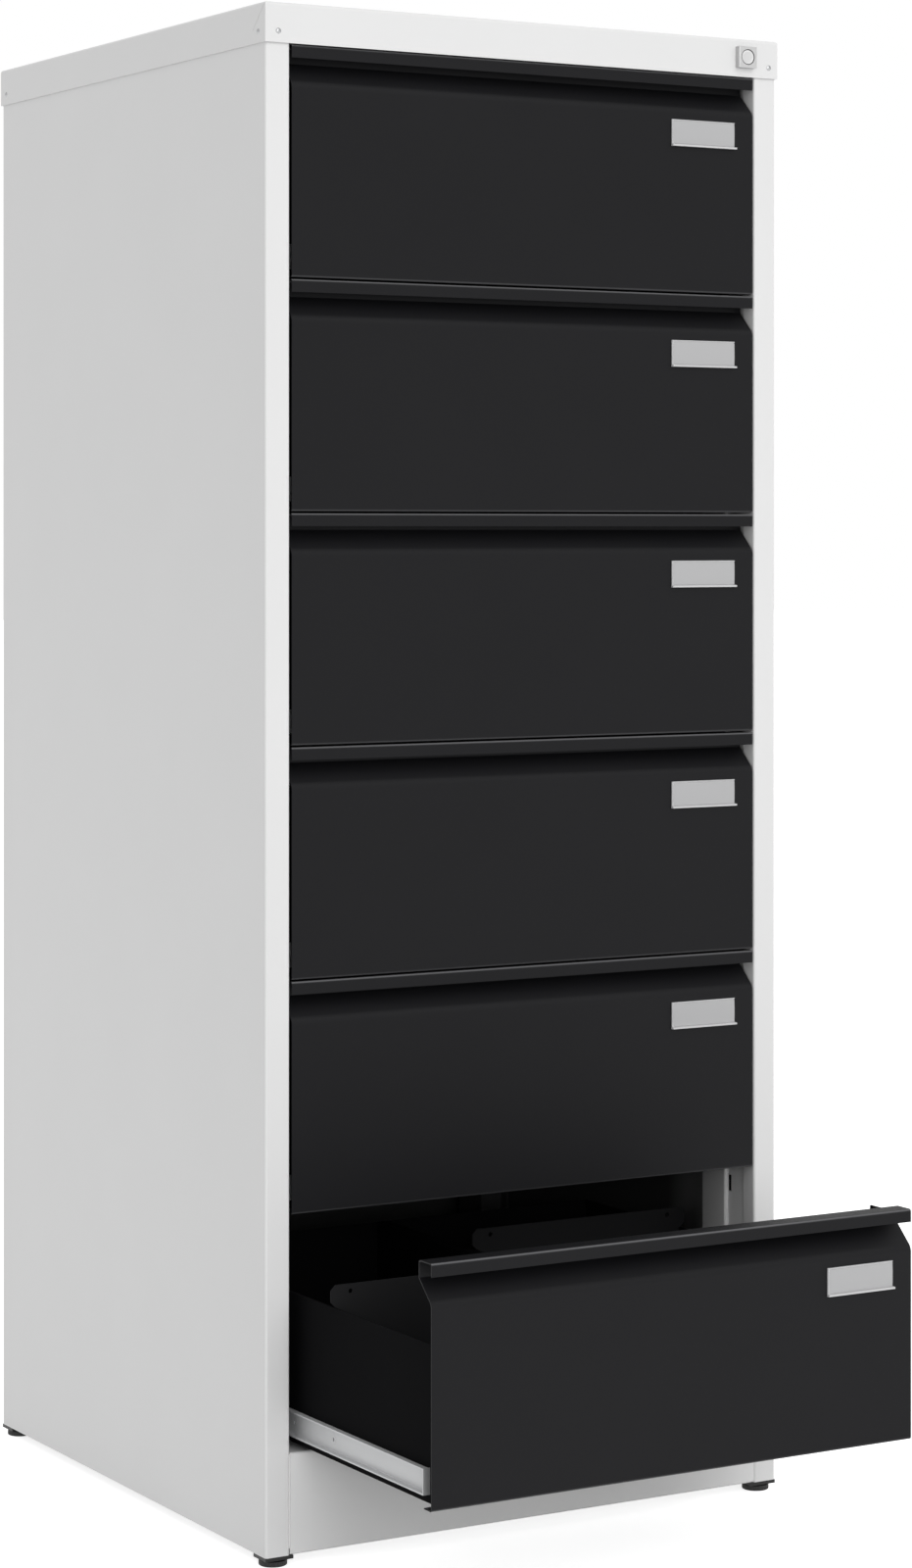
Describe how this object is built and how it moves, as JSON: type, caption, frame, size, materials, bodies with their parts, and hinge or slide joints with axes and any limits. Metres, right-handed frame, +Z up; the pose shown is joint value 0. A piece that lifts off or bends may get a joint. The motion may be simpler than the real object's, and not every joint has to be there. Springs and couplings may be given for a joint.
{
  "type": "card index cabinet",
  "caption": "Tall steel card index cabinet with sliding two-row card drawers on ball slides, label holders, card stops, a lock that bars all drawers, and levelling feet.",
  "frame": {"origin": "centre of the bounding box at floor level, with the lowest drawer drawn out as at rest", "axes": "+X to the right seen from the front, +Y towards the back, +Z up"},
  "size_m": [0.5176, 0.7764, 1.2938],
  "materials": {
    "case_paint": "light grey powder coat, fine texture, semi-matt",
    "drawer_paint": "near-black powder coat, fine texture, satin",
    "slide_steel": "bright zinc-plated steel",
    "stop_steel": "near-black powder coat",
    "label_plastic": "pale grey moulded plastic",
    "lock_metal": "satin nickel-plated die casting",
    "black_plastic": "black moulded polyamide"
  },
  "bodies": {
    "case": {"left_side_panel": "case_paint", "right_side_panel": "case_paint", "back_panel": "case_paint", "top_cover": "case_paint", "top_rail": "case_paint", "plinth": "case_paint", "bottom_pan": "case_paint", "runner_posts": "case_paint", "outer_rails": "slide_steel", "foot_brackets": "black_plastic", "lock_housing": "lock_metal", "case_rivets": "case_paint"},
    "lock_cylinder": {"lock_cylinder": "lock_metal"},
    "lock_bar": {"lock_bar": "stop_steel"},
    "foot_front_left": {"foot_front_left": "black_plastic"},
    "foot_rear_left": {"foot_rear_left": "black_plastic"},
    "foot_front_right": {"foot_front_right": "black_plastic"},
    "foot_rear_right": {"foot_rear_right": "black_plastic"},
    "drawer_1": {"drawer_1_front": "drawer_paint", "drawer_1_tray": "drawer_paint", "drawer_1_rails": "slide_steel", "drawer_1_label_holder": "label_plastic"},
    "drawer_1_ball_cages": {"drawer_1_ball_cages": "slide_steel"},
    "drawer_1_left_card_stop": {"drawer_1_left_card_stop": "stop_steel"},
    "drawer_1_right_card_stop": {"drawer_1_right_card_stop": "stop_steel"},
    "drawer_2": {"drawer_2_front": "drawer_paint", "drawer_2_tray": "drawer_paint", "drawer_2_rails": "slide_steel", "drawer_2_label_holder": "label_plastic"},
    "drawer_2_ball_cages": {"drawer_2_ball_cages": "slide_steel"},
    "drawer_2_left_card_stop": {"drawer_2_left_card_stop": "stop_steel"},
    "drawer_2_right_card_stop": {"drawer_2_right_card_stop": "stop_steel"},
    "drawer_3": {"drawer_3_front": "drawer_paint", "drawer_3_tray": "drawer_paint", "drawer_3_rails": "slide_steel", "drawer_3_label_holder": "label_plastic"},
    "drawer_3_ball_cages": {"drawer_3_ball_cages": "slide_steel"},
    "drawer_3_left_card_stop": {"drawer_3_left_card_stop": "stop_steel"},
    "drawer_3_right_card_stop": {"drawer_3_right_card_stop": "stop_steel"},
    "drawer_4": {"drawer_4_front": "drawer_paint", "drawer_4_tray": "drawer_paint", "drawer_4_rails": "slide_steel", "drawer_4_label_holder": "label_plastic"},
    "drawer_4_ball_cages": {"drawer_4_ball_cages": "slide_steel"},
    "drawer_4_left_card_stop": {"drawer_4_left_card_stop": "stop_steel"},
    "drawer_4_right_card_stop": {"drawer_4_right_card_stop": "stop_steel"},
    "drawer_5": {"drawer_5_front": "drawer_paint", "drawer_5_tray": "drawer_paint", "drawer_5_rails": "slide_steel", "drawer_5_label_holder": "label_plastic"},
    "drawer_5_ball_cages": {"drawer_5_ball_cages": "slide_steel"},
    "drawer_5_left_card_stop": {"drawer_5_left_card_stop": "stop_steel"},
    "drawer_5_right_card_stop": {"drawer_5_right_card_stop": "stop_steel"},
    "drawer_6": {"drawer_6_front": "drawer_paint", "drawer_6_tray": "drawer_paint", "drawer_6_rails": "slide_steel", "drawer_6_label_holder": "label_plastic"},
    "drawer_6_ball_cages": {"drawer_6_ball_cages": "slide_steel"},
    "drawer_6_left_card_stop": {"drawer_6_left_card_stop": "stop_steel"},
    "drawer_6_right_card_stop": {"drawer_6_right_card_stop": "stop_steel"}
  },
  "joints": [
    {"name": "lock_turn", "type": "hinge", "parent": "case", "child": "lock_cylinder", "pos_m": [0.2221, -0.15585, 1.2774], "axis": [0, -1, 0], "range_deg": [0, 90]},
    {"name": "lock_bar_slide", "type": "slide", "parent": "case", "child": "lock_bar", "axis": [-1, 0, 0], "range_m": [0, 0.0099]},
    {"name": "foot_front_left_turn", "type": "hinge", "parent": "case", "child": "foot_front_left", "pos_m": [-0.2435, -0.14205, 0], "axis": [0, 0, 1], "continuous": true},
    {"name": "foot_rear_left_turn", "type": "hinge", "parent": "case", "child": "foot_rear_left", "pos_m": [-0.2435, 0.37395, 0], "axis": [0, 0, 1], "continuous": true},
    {"name": "foot_front_right_turn", "type": "hinge", "parent": "case", "child": "foot_front_right", "pos_m": [0.2435, -0.14205, 0], "axis": [0, 0, 1], "continuous": true},
    {"name": "foot_rear_right_turn", "type": "hinge", "parent": "case", "child": "foot_rear_right", "pos_m": [0.2435, 0.37395, 0], "axis": [0, 0, 1], "continuous": true},
    {"name": "drawer_1_slide", "type": "slide", "parent": "case", "child": "drawer_1", "axis": [0, -1, 0], "range_m": [0, 0.35]},
    {"name": "drawer_1_ball_cages_slide", "type": "slide", "parent": "case", "child": "drawer_1_ball_cages", "axis": [0, -1, 0], "range_m": [0, 0.175]},
    {"name": "drawer_1_left_card_stop_slide", "type": "slide", "parent": "drawer_1", "child": "drawer_1_left_card_stop", "axis": [0, 1, 0], "range_m": [-0.146, 0.283]},
    {"name": "drawer_1_right_card_stop_slide", "type": "slide", "parent": "drawer_1", "child": "drawer_1_right_card_stop", "axis": [0, 1, 0], "range_m": [-0.298, 0.131]},
    {"name": "drawer_2_slide", "type": "slide", "parent": "case", "child": "drawer_2", "axis": [0, -1, 0], "range_m": [0, 0.35]},
    {"name": "drawer_2_ball_cages_slide", "type": "slide", "parent": "case", "child": "drawer_2_ball_cages", "axis": [0, -1, 0], "range_m": [0, 0.175]},
    {"name": "drawer_2_left_card_stop_slide", "type": "slide", "parent": "drawer_2", "child": "drawer_2_left_card_stop", "axis": [0, 1, 0], "range_m": [-0.146, 0.283]},
    {"name": "drawer_2_right_card_stop_slide", "type": "slide", "parent": "drawer_2", "child": "drawer_2_right_card_stop", "axis": [0, 1, 0], "range_m": [-0.298, 0.131]},
    {"name": "drawer_3_slide", "type": "slide", "parent": "case", "child": "drawer_3", "axis": [0, -1, 0], "range_m": [0, 0.35]},
    {"name": "drawer_3_ball_cages_slide", "type": "slide", "parent": "case", "child": "drawer_3_ball_cages", "axis": [0, -1, 0], "range_m": [0, 0.175]},
    {"name": "drawer_3_left_card_stop_slide", "type": "slide", "parent": "drawer_3", "child": "drawer_3_left_card_stop", "axis": [0, 1, 0], "range_m": [-0.146, 0.283]},
    {"name": "drawer_3_right_card_stop_slide", "type": "slide", "parent": "drawer_3", "child": "drawer_3_right_card_stop", "axis": [0, 1, 0], "range_m": [-0.298, 0.131]},
    {"name": "drawer_4_slide", "type": "slide", "parent": "case", "child": "drawer_4", "axis": [0, -1, 0], "range_m": [0, 0.35]},
    {"name": "drawer_4_ball_cages_slide", "type": "slide", "parent": "case", "child": "drawer_4_ball_cages", "axis": [0, -1, 0], "range_m": [0, 0.175]},
    {"name": "drawer_4_left_card_stop_slide", "type": "slide", "parent": "drawer_4", "child": "drawer_4_left_card_stop", "axis": [0, 1, 0], "range_m": [-0.146, 0.283]},
    {"name": "drawer_4_right_card_stop_slide", "type": "slide", "parent": "drawer_4", "child": "drawer_4_right_card_stop", "axis": [0, 1, 0], "range_m": [-0.298, 0.131]},
    {"name": "drawer_5_slide", "type": "slide", "parent": "case", "child": "drawer_5", "axis": [0, -1, 0], "range_m": [0, 0.35]},
    {"name": "drawer_5_ball_cages_slide", "type": "slide", "parent": "case", "child": "drawer_5_ball_cages", "axis": [0, -1, 0], "range_m": [0, 0.175]},
    {"name": "drawer_5_left_card_stop_slide", "type": "slide", "parent": "drawer_5", "child": "drawer_5_left_card_stop", "axis": [0, 1, 0], "range_m": [-0.146, 0.283]},
    {"name": "drawer_5_right_card_stop_slide", "type": "slide", "parent": "drawer_5", "child": "drawer_5_right_card_stop", "axis": [0, 1, 0], "range_m": [-0.298, 0.131]},
    {"name": "drawer_6_slide", "type": "slide", "parent": "case", "child": "drawer_6", "axis": [0, -1, 0], "range_m": [-0.231, 0.119]},
    {"name": "drawer_6_ball_cages_slide", "type": "slide", "parent": "case", "child": "drawer_6_ball_cages", "axis": [0, -1, 0], "range_m": [-0.1155, 0.0595]},
    {"name": "drawer_6_left_card_stop_slide", "type": "slide", "parent": "drawer_6", "child": "drawer_6_left_card_stop", "axis": [0, 1, 0], "range_m": [-0.146, 0.283]},
    {"name": "drawer_6_right_card_stop_slide", "type": "slide", "parent": "drawer_6", "child": "drawer_6_right_card_stop", "axis": [0, 1, 0], "range_m": [-0.298, 0.131]}
  ],
  "couplings": [
    {"joint": "lock_turn", "follows": "lock_bar_slide", "rad_per_m": 158.67},
    {"joint": "drawer_1_ball_cages_slide", "follows": "drawer_1_slide", "ratio": 0.5},
    {"joint": "drawer_2_ball_cages_slide", "follows": "drawer_2_slide", "ratio": 0.5},
    {"joint": "drawer_3_ball_cages_slide", "follows": "drawer_3_slide", "ratio": 0.5},
    {"joint": "drawer_4_ball_cages_slide", "follows": "drawer_4_slide", "ratio": 0.5},
    {"joint": "drawer_5_ball_cages_slide", "follows": "drawer_5_slide", "ratio": 0.5},
    {"joint": "drawer_6_ball_cages_slide", "follows": "drawer_6_slide", "ratio": 0.5}
  ]
}
